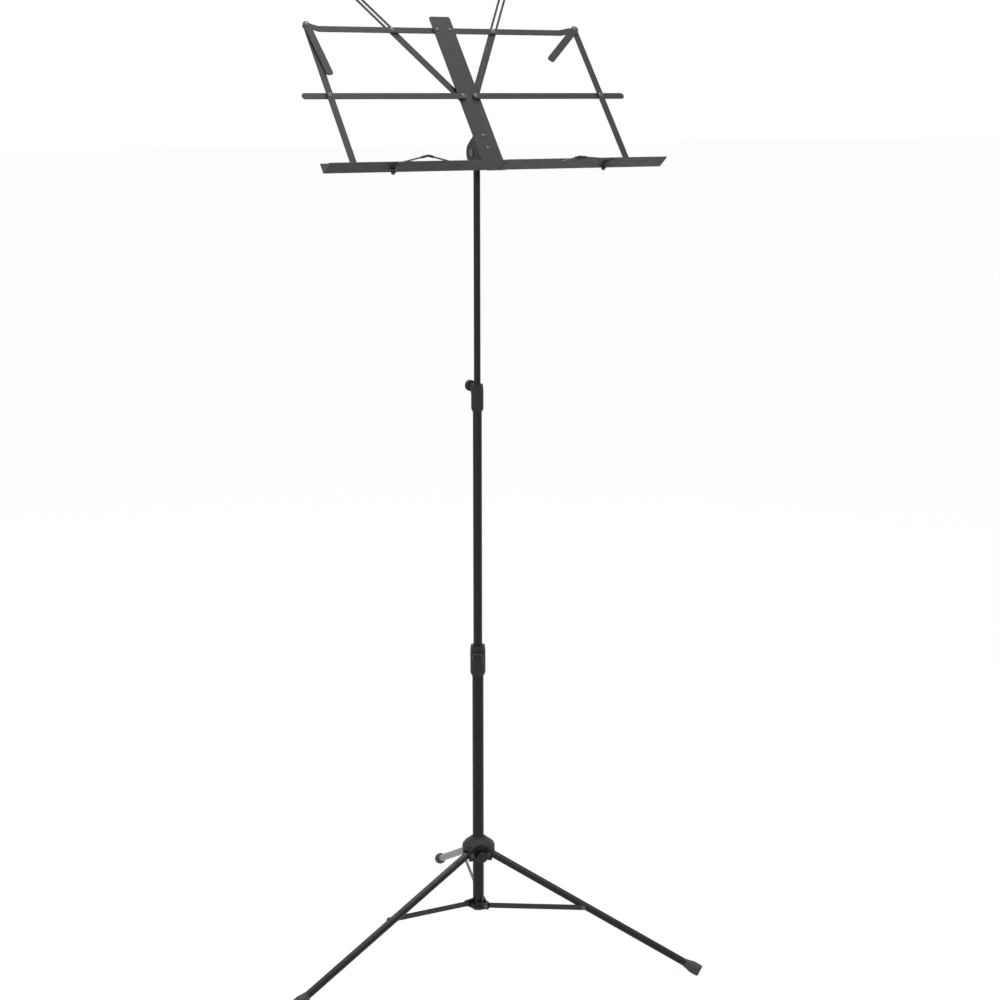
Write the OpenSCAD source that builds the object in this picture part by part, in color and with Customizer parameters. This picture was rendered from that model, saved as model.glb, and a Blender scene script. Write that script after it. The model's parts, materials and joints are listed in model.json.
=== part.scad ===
// Folding music stand: a three-tube mast on a folding tripod, with a tilting desk of riveted strips.
// The origin is on the floor, under the mast's axis. The ledge runs along X and the desk faces -Y.

/* [Mast] */
// Outer diameter of the bottom tube
bottom_tube_d = 16; // [15:0.5:18]
// Wall of the bottom tube
bottom_wall = 1.2; // [1:0.1:1.3]
// Outer diameter of the middle tube
mid_tube_d = 12.5; // [12:0.1:13]
// Wall of the middle tube
mid_wall = 1; // [0.8:0.1:1.1]
// Outer diameter of the top tube
top_tube_d = 9.2; // [8.6:0.1:9.6]
// Wall of the top tube
top_wall = 1; // [0.8:0.1:1.2]
// Height of the bottom tube's lower end above the floor
bottom_tube_z = 59; // [58:0.5:60]
// Length of the bottom tube
bottom_tube_len = 365; // [360:1:400]
// Length of the middle tube
mid_tube_len = 408; // [400:1:420]
// Length of the middle tube left inside the bottom tube
mid_inside = 32; // [30:1:60]
// Length of the top tube
top_tube_len = 363; // [350:1:380]
// Length of the top tube left inside the middle tube
top_inside = 55; // [40:1:90]
// Height of the friction plug at a tube's lower end
plug_h = 12; // [8:0.5:14]

/* [Clutches] */
// Outer diameter of the lower clutch
lower_clutch_d = 21.4; // [20.5:0.1:23]
// Height of the lower clutch
lower_clutch_h = 44; // [40:1:48]
// Outer diameter of the upper clutch
upper_clutch_d = 17; // [16.4:0.1:18]
// Height of the upper clutch
upper_clutch_h = 38; // [36:1:40]
// Depth of the bottom tube in the lower clutch
lower_seat = 20; // [17:0.5:23]
// Depth of the middle tube in the upper clutch
upper_seat = 22.5; // [19:0.5:23]
// Height of the lower lock screw above its tube's end
lower_screw_up = 8; // [7:0.5:14]
// Height of the upper lock screw above its tube's end
upper_screw_up = 12; // [9:0.5:12]
// Direction that the lower lock knob points in
lower_knob_turn = -120; // [-180:1:180]
// Direction that the upper lock knob points in
upper_knob_turn = 103; // [-180:1:180]
// Diameter of the lock knobs
knob_d = 15.4; // [14:0.1:16]
// Thickness of the lock knobs
knob_h = 7; // [6:0.1:8]
// Diameter of the bosses that carry the lock screws
boss_d = 11.6; // [10:0.1:12]
// Reach of a boss beyond its clutch
boss_out = 2.8; // [2:0.1:4]
// Width of the rib under a boss
rib_w = 7; // [5:0.5:8]
// Height of the rib under a boss, from the lock screw down
rib_drop = 14; // [8:0.5:16]
// Diameter of the lock screws
screw_d = 4; // [3:0.1:5]

/* [Tripod] */
// Direction of the rear leg
rear_leg_turn = 71.5; // [60:0.5:80]
// Length of a leg from its pin to the end of its foot
leg_len = 337; // [325:1:345]
// Slope of an open leg below level
leg_slope = 24; // [23:0.5:26]
// Diameter of the leg tubes
leg_d = 10.5; // [10:0.1:11]
// Wall of the leg tubes
leg_wall = 1; // [0.8:0.1:1.3]
// Distance of the leg pins from the mast's axis
leg_pin_r = 18; // [17.8:0.1:19]
// Diameter of the leg pins
leg_pin_d = 4; // [3.5:0.1:4.5]
// Distance from a leg's pin to its strut rivet
strut_at = 154; // [148:1:158]
// Width of the struts
strut_w = 7.4; // [7:0.1:8]
// Distance of the strut pins from the mast's axis
strut_pin_r = 15; // [14.8:0.1:16]
// Height of the strut pins above the bottom tube's lower end
strut_pin_up = 6.5; // [6:0.1:8]
// Diameter of the strut pins and rivets
strut_pin_d = 3.2; // [3:0.1:3.6]
// Outer diameter of the strut collar
collar_d = 31.6; // [31:0.1:33]
// Height of the strut collar's rim
collar_h = 5; // [4:0.5:6]
// Outer diameter of the hub
hub_d = 47; // [46:0.2:50]
// Height of the hub
hub_h = 32; // [31:0.5:34]
// Height of the leg pins above the hub's underside
hub_pin_up = 8.6; // [8:0.1:9.5]
// Height of the hub's lock screw above its underside
hub_screw_up = 7; // [6.5:0.1:8]
// Direction that the hub's lock knob points in
hub_knob_turn = 255; // [249:0.5:255]
// Thickness of the hub's cheeks and the collar's lugs
cheek = 3.6; // [3:0.1:4]
// Length of a rubber foot
foot_len = 23; // [20:0.5:26]
// Diameter of a rubber foot at its neck
foot_neck_d = 12.4; // [12:0.1:13]
// Largest diameter of a rubber foot
foot_d = 16.6; // [16:0.1:18]
// Diameter of a rubber foot at its flat end
foot_end_d = 15.4; // [14:0.1:16]
// Depth of the flat worn into a foot where it meets the floor
sole_flat = 0.5; // [0.3:0.1:1]

/* [Desk] */
// Height of the tilt bolt above the top tube's end
tilt_neck = 18; // [17:0.5:20]
// Lean of the desk back from upright
lean = 38; // [30:1:45]
// Distance from the tilt bolt to the front face of the spine
face_offset = 29; // [28:0.5:32]
// Thickness of the strips and sheets
sheet = 1.5; // [1.2:0.1:1.6]
// Width of the strips
strip_w = 9; // [8:0.1:10]
// Width of the spine plate
spine_w = 31.6; // [30:0.1:34]
// Reach of the spine plate past its outer rivet rows
spine_end_low = 5.5; // [5:0.5:8]
// Reach of the spine plate above the top row
spine_end_high = 22.5; // [18:0.5:26]
// Radius of the spine plate's corners
spine_corner = 3; // [2:0.5:4]
// Height of the ledge row above the tilt bolt, along the desk
ledge_row = -43.5; // [-46:0.5:-42]
// Distance between the rivet rows
row_pitch = 113; // [108:1:116]
// Distance of the spine's rivets from its centreline
pivot_u = 9.5; // [9:0.1:10.5]
// Distance between a bar's rivets
bar_reach = 196.5; // [185:0.5:205]
// Reach of the middle bar past its outer rivet
mid_bar_tip = 39; // [30:0.5:42]
// Length of the top bar's end that is bent forward, from its corner rivet
jog_len = 20; // [18:0.5:24]
// Length of the flat part of that end, from the corner rivet
jog_flat = 7; // [6.5:0.5:9]
// Outer end of a ledge, from the centreline
ledge_end = 253.3; // [248:0.1:256]
// Gap between the two ledges
ledge_gap = 2; // [1:0.1:3]
// Height of a ledge's flange
flange_h = 15.6; // [15:0.1:17]
// Depth of a ledge's shelf
shelf_depth = 22.5; // [20:0.1:25]
// Outer bend radius of a ledge
bend_r = 2.6; // [2:0.1:3]
// Diameter of the desk's rivets
rivet_d = 4; // [3.4:0.1:4.4]
// Diameter of the desk's rivet heads
head_d = 6.8; // [6:0.1:7.4]
// Diameter of the small rivet heads in the spine
small_head_d = 5.2; // [4.8:0.1:6]
// Height of the desk's rivet heads
head_h = 1; // [0.8:0.1:1]
// Gap between strips that slide over each other
layer_gap = 0.3; // [0.3:0.05:0.5]
// Length of the slot in the right shelf
tuck_slot_len = 12.6; // [8:0.1:16]
// Width of the slot in the right shelf
tuck_slot_w = 2; // [1:0.1:3]

/* [Page arms and tabs] */
// Distance along the top bar from its spine rivet to the page arm's rivet
arm_rivet_u = 68.3; // [62:0.1:74]
// Length of a page arm from its pivot to its tip
arm_len = 214; // [200:1:220]
// Width of a page arm
arm_w = 10; // [9.4:0.1:10.6]
// Width of a page arm's slot
slot_w = 4.2; // [3.8:0.1:4.6]
// Distance from the end of the slot to the page arm's tip
slot_tip = 7; // [6:0.5:10]
// Length of a corner tab from its pivot to its end
tab_len = 82; // [60:1:90]
// Width of a corner tab
tab_w = 10.4; // [9:0.1:11]
// Radius of a corner tab's end corners
tab_corner = 3.4; // [1:0.1:4]
// Swing of the left corner tab, inward from hanging straight down
left_tab_swing = 6.6; // [0:0.1:90]
// Swing of the right corner tab, inward from hanging straight down
right_tab_swing = 47.8; // [0:0.1:90]

/* [Page retainers] */
// Distance of a retainer's pivot from the centreline
retainer_u = 158.5; // [150:0.5:165]
// Diameter of the retainer wire
wire_d = 2.2; // [2:0.1:2.4]
// Gap between the ledge's front edge and the wire
wire_front_gap = 1; // [0.9:0.1:1.6]
// Height of the retainer's pivot under the shelf
wire_drop = 2.8; // [2.7:0.1:3.4]
// Distance from a retainer's pivot to the bend in its wire
retainer_bend = 47; // [40:1:50]
// Distance from a retainer's bend to its tip
retainer_tip = 33; // [28:1:38]
// Angle at which the left retainer rises from its pivot to its bend
left_retainer_rise = 13.5; // [5:0.5:20]
// Angle at which the left retainer falls from its bend to its tip
left_retainer_fall = 19; // [8:0.5:25]
// Angle at which the right retainer rises from its pivot to its bend
right_retainer_rise = 6; // [5:0.5:20]
// Angle at which the right retainer falls from its bend to its tip
right_retainer_fall = 14.5; // [8:0.5:25]
// Length of the wire's finger tail, sideways from its pivot
retainer_tail = 16.4; // [12:0.1:20]
// Diameter of the soft sleeve on the retainer's bend
sleeve_d = 3.4; // [3:0.1:3.6]
// Length of the soft sleeve from the bend towards the pivot
sleeve_in = 12; // [8:0.5:14]
// Length of the soft sleeve from the bend towards the tip
sleeve_out = 8; // [6:0.5:12]

/* [Tilt head] */
// Diameter of the tilt bolt
bolt_d = 5; // [4:0.1:6]
// Thickness of the tilt head's tongue
tongue_t = 6; // [5:0.1:6.4]
// Radius of the tilt head's round end
tongue_r = 14.5; // [13:0.1:14.8]
// Thickness of a bracket ear
ear_t = 4.2; // [3.5:0.1:4.6]
// Radius of a bracket ear's round end
ear_r = 15.5; // [15:0.1:15.7]
// Outer diameter of the tilt head's shoulder
shoulder_d = 13; // [12:0.1:14]
// Depth of the top tube in the tilt head's shoulder
shoulder_seat = 4; // [3:0.5:5]
// Length of the tilt head's spigot in the top tube
spigot_len = 16; // [12:1:24]

/* [Fits] */
// Running clearance on the radius of a pin or a sliding tube
run_fit = 0.05; // [0.03:0.01:0.08]
// Gap between parts that pass each other
pass_gap = 0.3; // [0.3:0.05:0.4]

/* [Hidden] */
$fn = 48;

// Colours
black_tube = [0.15, 0.15, 0.16];
black_plastic = [0.11, 0.11, 0.12];
dark_strip = [0.29, 0.29, 0.31];
rivet_steel = [0.45, 0.45, 0.47];
rubber = [0.2, 0.2, 0.21];

// Mast heights
bottom_top = bottom_tube_z + bottom_tube_len;
mid_bottom = bottom_top - mid_inside;
mid_top = mid_bottom + mid_tube_len;
top_bottom = mid_top - top_inside;
top_top = top_bottom + top_tube_len;
tilt_z = top_top + tilt_neck;
lower_clutch_z = bottom_top - lower_seat;
upper_clutch_z = mid_top - upper_seat;
lower_screw_z = bottom_top + lower_screw_up;
upper_screw_z = mid_top + upper_screw_up;
cap_lip = 1.5;
plug_spigot = 10;

// Clutches and knobs
clutch_lip = 0.6;
clutch_foot = 4.5;
clutch_taper = 0.8;
clutch_shoulder = 8;
knob_edge = 1.2;
flute_d = 2;
flute_step = 36;

// Tripod places
cut = 0.5;
sliver = 0.1;
leg_turns = [rear_leg_turn, rear_leg_turn + 120, rear_leg_turn - 120];
hub_pin_z = leg_len * sin(leg_slope) + foot_end_d / 2 * cos(leg_slope) - sole_flat;
hub_z = hub_pin_z - hub_pin_up;
slot_half = leg_d / 2 + pass_gap;
core_r = leg_pin_r - leg_d / 2 - pass_gap - sliver;
hub_screw_z = hub_z + hub_screw_up;
hub_seat_r = hub_d / 2 - 4;
hub_skirt = 14;
hub_brim = 10;
arch_r = 14.4;
arch_z = hub_pin_z + 1.4;
arch_in = core_r - 1;
leg_root = 14.5;
leg_end = 5;
boot_floor = 4;
strut_pin_z = bottom_tube_z + strut_pin_up;
strut_rise = hub_pin_z - strut_at * sin(leg_slope) - strut_pin_z;
strut_run = leg_pin_r + strut_at * cos(leg_slope) - strut_pin_r;
strut_len = norm([strut_run, strut_rise]);
strut_angle = atan2(strut_rise, strut_run);
strut_in = slot_half + sliver;
strut_out = strut_in + sheet;
lug_in = strut_out + pass_gap;
lug_out = lug_in + cheek;
collar_core = strut_pin_r - strut_w / 2 - pass_gap;
collar_chamfer = 2;
pin_head_d = leg_pin_d + 2.6;
strut_head_d = strut_pin_d + 2.4;
foot_at = leg_len - foot_len;

// Desk layers, measured from the spine's front face towards the reader
spine_back = -sheet;
top_bar_n = spine_back - layer_gap - sheet;
arm_n = top_bar_n - layer_gap - sheet;
mid_bar_n = head_h + layer_gap;
side_bar_n = mid_bar_n + sheet + layer_gap;
ledge_n = side_bar_n + sheet + layer_gap;
front_n = ledge_n + sheet;

// Desk rows and the ledge's section
mid_row = ledge_row + row_pitch;
top_row = mid_row + row_pitch;
side_u = pivot_u + bar_reach;
strip_r = strip_w / 2;
flange_v = ledge_row + sheet + strip_r - 1;
shelf_v = flange_v - flange_h;
wire_v = shelf_v - wire_drop;
wire_n = ledge_n + shelf_depth + wire_front_gap + wire_d / 2;
arm_angle = atan2(row_pitch, arm_rivet_u);
arm_rivet_open = norm([row_pitch, arm_rivet_u]);
tuck_slot_u = 7;
tuck_slot_n = 14.6;

// Retainers and clips
clip_plate = 1;
clip_w = 9;
clip_n = ledge_n + 3.4;
knuckle_h = 4;
knuckle_d = 2 * wire_drop;
front_knuckle_n = ledge_n + shelf_depth - knuckle_h - 1.6;
axle_n = clip_n - pass_gap;
tail_n = clip_n + knuckle_h + wire_d;
tail_drop = 3;

// Tilt head, bracket and wing knob
head_top = tilt_z - ear_r - 0.5;
tongue_w = shoulder_d - 0.8;
ear_out = tongue_t / 2 + pass_gap + ear_t;
web_t = 1.8;
web_low = 20;
bracket_rivet_rows = [6, -14];
bolt_head_d = bolt_d + 4.4;
bolt_head_h = 1.6;
bolt_end = 10;
wing_hub_h = 8;
wing_reach = 12;
wing_w = 3.2;
wing_tip_d = 8;

// Places the children at a point of the desk, with Z pointing out of it
module on_desk(n = 0) {
    translate([0, 0, tilt_z]) rotate([90 - lean, 0, 0]) translate([0, 0, face_offset + n]) children();
}

// Mirrors the children to the left half for side = -1
module sided(side) {
    mirror([side < 0 ? 1 : 0, 0, 0]) children();
}

// Places the children on one leg's line: X points outward, Y runs anticlockwise
module at_leg(turn) {
    rotate([0, 0, turn]) children();
}

// Turns a Z cylinder so that it points outward in one direction
module pointing(turn, z) {
    translate([0, 0, z]) rotate([0, 0, turn]) rotate([0, 90, 0]) children();
}

// Plain tube standing on z
module tube(d, wall, z, h) {
    translate([0, 0, z]) difference() {
        cylinder(d = d, h = h);
        translate([0, 0, -cut]) cylinder(d = d - 2 * wall, h = h + 2 * cut);
    }
}

// Rectangle with round corners between two opposite corners
module plate_2d(low, high, r) {
    translate([low[0] + r, low[1]]) square([high[0] - low[0] - 2 * r, high[1] - low[1]]);
    translate([low[0], low[1] + r]) square([high[0] - low[0], high[1] - low[1] - 2 * r]);
    for (x = [low[0] + r, high[0] - r], y = [low[1] + r, high[1] - r]) {
        translate([x, y]) circle(r);
    }
}

// Strip with round ends, drawn along X between two end positions
module strip_2d(x0, x1, w) {
    translate([x0 + w / 2, -w / 2]) square([x1 - x0 - w, w]);
    translate([x0 + w / 2, 0]) circle(d = w);
    translate([x1 - w / 2, 0]) circle(d = w);
}

// Rivet head, flat under and chamfered above
module head(d, h) {
    cylinder(d = d, h = h * 0.55);
    translate([0, 0, h * 0.55]) cylinder(d1 = d, d2 = d * 0.66, h = h * 0.45);
}

// Rivet from back to front, with a head in front and, where asked, one behind
module rivet(back, front, back_head = true, d = head_d) {
    translate([0, 0, back]) cylinder(d = rivet_d, h = front - back);
    translate([0, 0, front]) head(d, head_h);
    if (back_head) translate([0, 0, back]) mirror([0, 0, 1]) head(d, head_h);
}

// Spacer around a rivet
module bush(n, h) {
    translate([0, 0, n]) difference() {
        cylinder(d = 2 * rivet_d, h = h);
        translate([0, 0, -cut]) cylinder(d = rivet_d + 2 * run_fit, h = h + 2 * cut);
    }
}

// Hole for a rivet that a strip turns on
module rivet_hole(n, h) {
    translate([0, 0, n - cut]) cylinder(d = rivet_d + 2 * run_fit, h = h + 2 * cut);
}

// Lock knob with its screw, pointing along Z from the mast's axis
module lock_knob(tip_r, seat_r) {
    translate([0, 0, tip_r]) cylinder(d = screw_d, h = seat_r + pass_gap + knob_h / 2 - tip_r);
    translate([0, 0, seat_r + pass_gap]) difference() {
        union() {
            cylinder(d1 = knob_d - knob_edge, d2 = knob_d, h = knob_edge);
            translate([0, 0, knob_edge]) cylinder(d = knob_d, h = knob_h - 2 * knob_edge);
            translate([0, 0, knob_h - knob_edge])
                cylinder(d1 = knob_d, d2 = knob_d - 2 * knob_edge, h = knob_edge);
        }
        for (a = [0 : flute_step : 359]) {
            rotate([0, 0, a]) translate([(knob_d + flute_d / 2) / 2, 0, -cut])
                cylinder(d = flute_d, h = knob_h + 2 * cut);
        }
    }
}

// Plain screw hole along Z
module screw_hole(reach) {
    cylinder(d = screw_d + 2 * run_fit, h = reach);
}

module bottom_tube() {
    color(black_tube) tube(bottom_tube_d, bottom_wall, bottom_tube_z, bottom_tube_len);
}

module end_cap() {
    color(black_plastic) {
        translate([0, 0, bottom_tube_z - cap_lip]) cylinder(d = bottom_tube_d, h = cap_lip);
        translate([0, 0, bottom_tube_z])
            cylinder(d = bottom_tube_d - 2 * bottom_wall - 2 * run_fit, h = plug_spigot);
    }
}

// Collar at the mast's foot: a rim cut away where the folded legs pass, with a lug beside each strut
module strut_collar() {
    color(black_plastic) difference() {
        union() {
            difference() {
                union() {
                    translate([0, 0, bottom_tube_z])
                        cylinder(d1 = collar_d - 2 * collar_chamfer, d2 = collar_d, h = collar_chamfer);
                    translate([0, 0, bottom_tube_z + collar_chamfer])
                        cylinder(d = collar_d, h = collar_h - collar_chamfer);
                }
                for (turn = leg_turns) {
                    at_leg(turn) translate([collar_core, -lug_in, bottom_tube_z - cut])
                        cube([collar_d, lug_in + slot_half, collar_h + 2 * cut]);
                }
            }
            translate([0, 0, bottom_tube_z]) cylinder(r = collar_core, h = strut_pin_up);
            for (turn = leg_turns) at_leg(turn) {
                translate([0, -lug_out, bottom_tube_z + collar_chamfer])
                    cube([strut_pin_r, cheek, strut_pin_up + strut_w / 2 - collar_chamfer]);
                translate([strut_pin_r, -lug_in, strut_pin_z]) rotate([90, 0, 0])
                    cylinder(d = strut_w, h = cheek);
                translate([strut_pin_r - cut, -lug_out, bottom_tube_z + collar_chamfer])
                    cube([strut_w / 2 + cut, cheek, strut_pin_up - collar_chamfer]);
            }
        }
        translate([0, 0, bottom_tube_z - cut]) cylinder(d = bottom_tube_d, h = strut_pin_up + strut_w);
        for (turn = leg_turns) at_leg(turn)
            translate([strut_pin_r, 0, strut_pin_z]) rotate([90, 0, 0])
                cylinder(d = strut_pin_d, h = lug_out + cut);
    }
}

module collar_pins() {
    color(rivet_steel) for (turn = leg_turns) {
        at_leg(turn) translate([strut_pin_r, 0, strut_pin_z]) rotate([90, 0, 0]) {
            translate([0, 0, strut_in]) cylinder(d = strut_pin_d, h = lug_out - strut_in);
            translate([0, 0, lug_out]) head(strut_head_d, head_h);
        }
    }
}

// Boss for a lock screw, with a tapering rib under it
module boss(turn, screw_z, r) {
    pointing(turn, screw_z) cylinder(d = boss_d, h = r);
    translate([0, 0, screw_z]) rotate([0, 0, turn]) rotate([90, 0, 0])
        translate([0, 0, -rib_w / 2]) linear_extrude(rib_w)
            polygon([[0, 0], [r, 0], [r, -boss_d * 0.4], [r - boss_out - 1, -rib_drop], [0, -rib_drop]]);
}

// Clutch: seated on the lower tube, guiding the upper tube, with a boss for its lock screw
module clutch(d, z, h, low_d, seat, high_d, turn, screw_z) {
    difference() {
        union() {
            translate([0, 0, z]) cylinder(d1 = low_d + 2 * clutch_lip, d2 = d, h = clutch_foot);
            translate([0, 0, z + clutch_foot]) cylinder(d = d, h = h - clutch_foot - clutch_shoulder);
            translate([0, 0, z + h - clutch_shoulder])
                cylinder(d1 = d, d2 = d - 2 * clutch_taper, h = clutch_shoulder);
            boss(turn, screw_z, d / 2 + boss_out);
        }
        translate([0, 0, z - cut]) cylinder(d = low_d, h = seat + cut);
        translate([0, 0, z]) cylinder(d = high_d + 2 * run_fit, h = h + boss_d);
        translate([0, 0, z + h]) cylinder(r = d, h = boss_d);
        pointing(turn, screw_z) screw_hole(d);
    }
}

module lower_clutch() {
    color(black_plastic)
        clutch(lower_clutch_d, lower_clutch_z, lower_clutch_h, bottom_tube_d, lower_seat, mid_tube_d,
               lower_knob_turn, lower_screw_z);
}

module lower_knob() {
    color(black_plastic) pointing(lower_knob_turn, lower_screw_z)
        lock_knob(mid_tube_d / 2 + run_fit, lower_clutch_d / 2 + boss_out);
}

// Round bell of the hub: a plain skirt under a conical roof
module hub_bell() {
    neck_r = bottom_tube_d / 2 + 1.2;
    translate([0, 0, hub_z]) rotate_extrude() polygon([
        [0, 0], [hub_d / 2, 0], [hub_d / 2, hub_h - hub_skirt],
        [hub_d / 2 - 1.6, hub_h - hub_brim], [neck_r + 1, hub_h - 1], [neck_r, hub_h], [0, hub_h]
    ]);
}

// Sliding hub: a bell on three forked lobes, arched between them, with its lock screw in one arch
module hub() {
    slot_top = hub_pin_z + slot_half + pass_gap;
    color(black_plastic) difference() {
        union() {
            difference() {
                hub_bell();
                for (turn = leg_turns) pointing(turn + 180, arch_z) translate([0, 0, arch_in]) {
                    cylinder(r = arch_r, h = hub_d);
                    translate([0, -arch_r, 0]) cube([hub_d, 2 * arch_r, hub_d]);
                }
            }
            intersection() {
                hub_bell();
                for (turn = leg_turns) at_leg(turn)
                    translate([0, -slot_half - cheek, hub_z - cut])
                        cube([hub_d, 2 * (slot_half + cheek), hub_h + 2 * cut]);
            }
            translate([0, 0, hub_z + cut]) cylinder(r = core_r, h = hub_h - hub_brim);
            pointing(hub_knob_turn, hub_screw_z) cylinder(d = boss_d, h = hub_seat_r);
        }
        for (turn = leg_turns) at_leg(turn) {
            translate([core_r, -slot_half, hub_z - cut]) cube([hub_d, 2 * slot_half, slot_top - hub_z + cut]);
            translate([leg_pin_r, 0, hub_pin_z]) rotate([90, 0, 0])
                cylinder(d = leg_pin_d, h = 4 * slot_half, center = true);
        }
        translate([0, 0, hub_z - cut]) cylinder(d = bottom_tube_d + 2 * run_fit, h = hub_h + 2 * cut);
        pointing(hub_knob_turn, hub_screw_z) screw_hole(hub_d);
    }
}

module leg_pins() {
    reach = slot_half + cheek;
    color(rivet_steel) for (turn = leg_turns) {
        at_leg(turn) translate([leg_pin_r, 0, hub_pin_z]) rotate([90, 0, 0]) {
            cylinder(d = leg_pin_d, h = 2 * reach, center = true);
            for (end = [0, 1]) mirror([0, 0, end]) translate([0, 0, reach]) head(pin_head_d, head_h);
        }
    }
}

module hub_knob() {
    color(black_plastic) pointing(hub_knob_turn, hub_screw_z)
        lock_knob(bottom_tube_d / 2 + run_fit, hub_seat_r);
}

// Places the children at a leg's pin, with X running down the open leg
module along_leg(turn) {
    at_leg(turn) translate([leg_pin_r, 0, hub_pin_z]) rotate([0, leg_slope, 0]) children();
}

// Leg tube with a solid round root on its pin
module leg(turn) {
    color(black_tube) along_leg(turn) difference() {
        union() {
            rotate([0, 90, 0]) cylinder(d = leg_d, h = leg_len - leg_end);
            rotate([90, 0, 0]) cylinder(d = leg_d, h = leg_d - leg_wall, center = true);
        }
        translate([leg_root, 0, 0]) rotate([0, 90, 0]) cylinder(d = leg_d - 2 * leg_wall, h = leg_len);
        rotate([90, 0, 0]) cylinder(d = leg_pin_d + 2 * run_fit, h = 2 * leg_d, center = true);
    }
}

// Rubber boot pushed over the leg's end and worn flat on the floor
module foot(turn) {
    color(rubber) difference() {
        along_leg(turn) translate([foot_at, 0, 0]) rotate([0, 90, 0]) rotate_extrude() difference() {
            polygon([
                [0, 0], [foot_neck_d / 2, 0], [foot_neck_d / 2, foot_len * 0.3],
                [foot_d / 2, foot_len * 0.62],
                [foot_d / 2, foot_len * 0.8], [foot_end_d / 2, foot_len], [0, foot_len]
            ]);
            translate([-cut, -cut]) square([leg_d / 2 + cut, foot_len - boot_floor + cut]);
        }
        at_leg(turn) translate([0, -foot_d, -foot_d]) cube([2 * leg_len, 2 * foot_d, foot_d]);
    }
}

// Places the children at a strut's pin: X runs up the open strut, Z points away from the leg
module along_strut(turn) {
    at_leg(turn) translate([strut_pin_r, -strut_in, strut_pin_z]) rotate([0, -strut_angle, 0])
        rotate([90, 0, 0]) children();
}

// Flat strut from the collar to the leg
module strut(turn) {
    color(dark_strip) along_strut(turn) difference() {
        linear_extrude(sheet) strip_2d(-strut_w / 2, strut_len + strut_w / 2, strut_w);
        translate([0, 0, -cut]) cylinder(d = strut_pin_d + 2 * run_fit, h = sheet + 2 * cut);
        translate([strut_len, 0, -cut]) cylinder(d = strut_pin_d, h = sheet + 2 * cut);
    }
}

module strut_rivet(turn) {
    color(rivet_steel) along_strut(turn) translate([strut_len, 0, 0]) {
        cylinder(d = strut_pin_d, h = sheet);
        translate([0, 0, sheet]) head(strut_head_d, head_h);
    }
}

module mid_tube() {
    color(black_tube) tube(mid_tube_d, mid_wall, mid_bottom, mid_tube_len);
}

// Plug on a tube's lower end, running in the tube outside it
module plug(bore_d, z, spigot_d) {
    translate([0, 0, z - plug_h]) cylinder(d = bore_d - 2 * run_fit, h = plug_h);
    translate([0, 0, z]) cylinder(d = spigot_d, h = plug_spigot);
}

module mid_plug() {
    color(black_plastic)
        plug(bottom_tube_d - 2 * bottom_wall, mid_bottom, mid_tube_d - 2 * mid_wall - 2 * run_fit);
}

module upper_clutch() {
    color(black_plastic)
        clutch(upper_clutch_d, upper_clutch_z, upper_clutch_h, mid_tube_d, upper_seat, top_tube_d,
               upper_knob_turn, upper_screw_z);
}

module upper_knob() {
    color(black_plastic) pointing(upper_knob_turn, upper_screw_z)
        lock_knob(top_tube_d / 2 + run_fit, upper_clutch_d / 2 + boss_out);
}

// The top tube turns on this plug's spigot
module top_plug() {
    color(black_plastic)
        plug(mid_tube_d - 2 * mid_wall, top_bottom - pass_gap, top_tube_d - 2 * top_wall - 2 * run_fit);
}

module top_tube() {
    color(black_tube) tube(top_tube_d, top_wall, top_bottom, top_tube_len);
}

// Shoulder and spigot on the top tube's end, with a flat round tongue for the tilt bolt
module tilt_head() {
    color(black_plastic) difference() {
        union() {
            difference() {
                translate([0, 0, top_top - shoulder_seat])
                    cylinder(d = shoulder_d, h = head_top - top_top + shoulder_seat);
                translate([0, 0, top_top - shoulder_seat - cut])
                    cylinder(d = top_tube_d, h = shoulder_seat + cut);
            }
            translate([0, 0, top_top - spigot_len])
                cylinder(d = top_tube_d - 2 * top_wall, h = spigot_len + cut);
            translate([-tongue_t / 2, -tongue_w / 2, head_top - cut])
                cube([tongue_t, tongue_w, tilt_z - head_top]);
            translate([0, 0, tilt_z]) rotate([0, 90, 0]) cylinder(r = tongue_r, h = tongue_t, center = true);
        }
        translate([0, 0, tilt_z]) rotate([0, 90, 0])
            cylinder(d = bolt_d + 2 * run_fit, h = 2 * tongue_t, center = true);
    }
}

// Bracket behind the spine: a web and two round ears around the tongue
module tilt_bracket() {
    web_back = face_offset - sheet - web_t;
    color(black_plastic) translate([0, 0, tilt_z]) rotate([90 - lean, 0, 0]) difference() {
        union() {
            translate([-ear_out, -web_low, web_back]) cube([2 * ear_out, web_low + ear_r, web_t]);
            for (side = [-1, 1]) sided(side) translate([tongue_t / 2 + pass_gap, 0, 0]) {
                rotate([0, 90, 0]) cylinder(r = ear_r, h = ear_t);
                translate([0, -ear_r, 0]) cube([ear_t, 2 * ear_r, web_back + cut]);
            }
        }
        rotate([0, 90, 0]) cylinder(d = bolt_d, h = 4 * ear_r, center = true);
        for (v = bracket_rivet_rows) translate([0, v, 0])
            cylinder(d = rivet_d + 2 * run_fit, h = face_offset);
    }
}

module bracket_rivets() {
    color(rivet_steel) on_desk() for (v = bracket_rivet_rows) {
        translate([0, v, 0]) rivet(spine_back - web_t, 0, d = small_head_d);
    }
}

// Bolt through the ears and the tongue, threaded into the wing knob on the right
module tilt_bolt() {
    color(rivet_steel) translate([-ear_out, 0, tilt_z]) rotate([0, 90, 0]) {
        cylinder(d = bolt_d, h = 2 * ear_out + bolt_end);
        mirror([0, 0, 1]) head(bolt_head_d, bolt_head_h);
    }
}

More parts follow.
